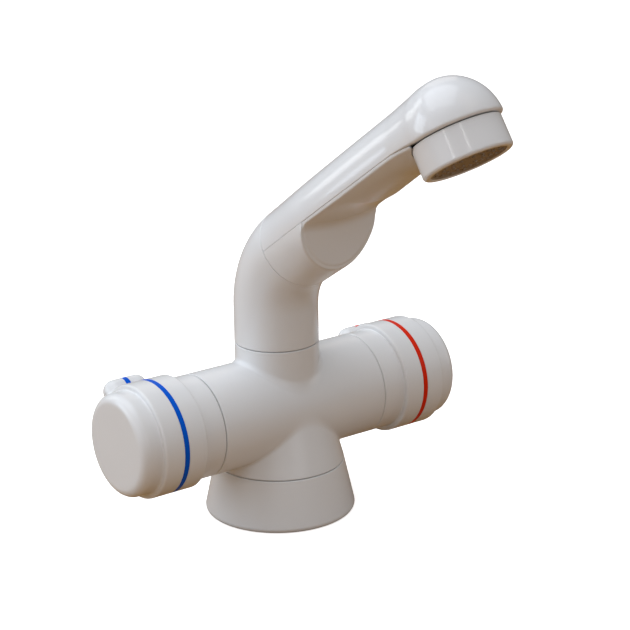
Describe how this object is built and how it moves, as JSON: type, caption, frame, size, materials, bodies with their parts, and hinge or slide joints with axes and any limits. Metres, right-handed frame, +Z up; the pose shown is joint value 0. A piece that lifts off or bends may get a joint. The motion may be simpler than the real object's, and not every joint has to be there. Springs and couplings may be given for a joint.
{
  "type": "two-knob deck mixer tap with pull-out spray",
  "caption": "White single-hole deck mixer tap: barrel body on a flared base, a hot and a cold knob with coloured rings, a swivelling bent spout and a pull-out spray handset.",
  "frame": {"origin": "centre of the tap hole on the worktop's upper face, where the base flange stands", "axes": "+Z up out of the worktop, +X along the valve barrel towards the hot knob, -Y to the user's side"},
  "size_m": [0.151, 0.1467, 0.3067],
  "materials": {
    "white_plastic": "satin gloss white",
    "grey_plastic": "moulded grey",
    "spray_plate_plastic": "matt grey brown",
    "blue_plastic": "gloss blue",
    "red_plastic": "gloss red",
    "brass": "machined brass",
    "copper_pipe": "drawn copper",
    "steel": "turned steel",
    "rubber": "matt black"
  },
  "bodies": {
    "tap_body": {"base_flange": "white_plastic", "base_gasket": "rubber", "mixer_body": "white_plastic", "bush": "grey_plastic", "hose_guide": "grey_plastic", "cold_cartridge": "brass", "hot_cartridge": "brass", "cold_gland_nut": "brass", "hot_gland_nut": "brass", "deck_shank": "steel", "clamp_seal": "rubber", "clamp_plate": "steel", "back_nut": "brass", "cold_inlet_tail": "copper_pipe", "hot_inlet_tail": "copper_pipe", "mixed_outlet_tail": "copper_pipe"},
    "cold_knob": {"cold_knob_collar": "white_plastic", "cold_index_ring": "blue_plastic", "cold_knob_cap": "white_plastic", "cold_spindle": "steel", "cold_knob_screw": "steel"},
    "hot_knob": {"hot_knob_collar": "white_plastic", "hot_index_ring": "red_plastic", "hot_knob_cap": "white_plastic", "hot_spindle": "steel", "hot_knob_screw": "steel"},
    "spout": {"swivel_elbow": "white_plastic", "swivel_seal": "rubber", "retaining_ring": "steel", "dock_liner": "grey_plastic"},
    "handset": {"handset_upper_shell": "white_plastic", "handset_lower_shell": "white_plastic", "rim_gasket": "rubber", "spray_ring": "white_plastic", "spray_plate": "spray_plate_plastic", "water_way": "grey_plastic", "dock_spigot": "grey_plastic", "dock_seal": "rubber", "hose_nipple": "brass"}
  },
  "joints": [
    {"name": "cold_knob_turn", "type": "hinge", "parent": "tap_body", "child": "cold_knob", "pos_m": [-0.0576, 0, 0.0434], "axis": [1, 0, 0], "range_deg": [0, 90]},
    {"name": "hot_knob_turn", "type": "hinge", "parent": "tap_body", "child": "hot_knob", "pos_m": [0.0576, 0, 0.0434], "axis": [1, 0, 0], "range_deg": [0, 90]},
    {"name": "spout_swivel", "type": "hinge", "parent": "tap_body", "child": "spout", "pos_m": [0, 0, 0.0702], "axis": [0, 0, 1], "range_deg": [-115.9, 104.1]},
    {"name": "handset_pull", "type": "slide", "parent": "spout", "child": "handset", "axis": [0.0826, -0.7996, 0.5948], "range_m": [0, 0.12]}
  ]
}
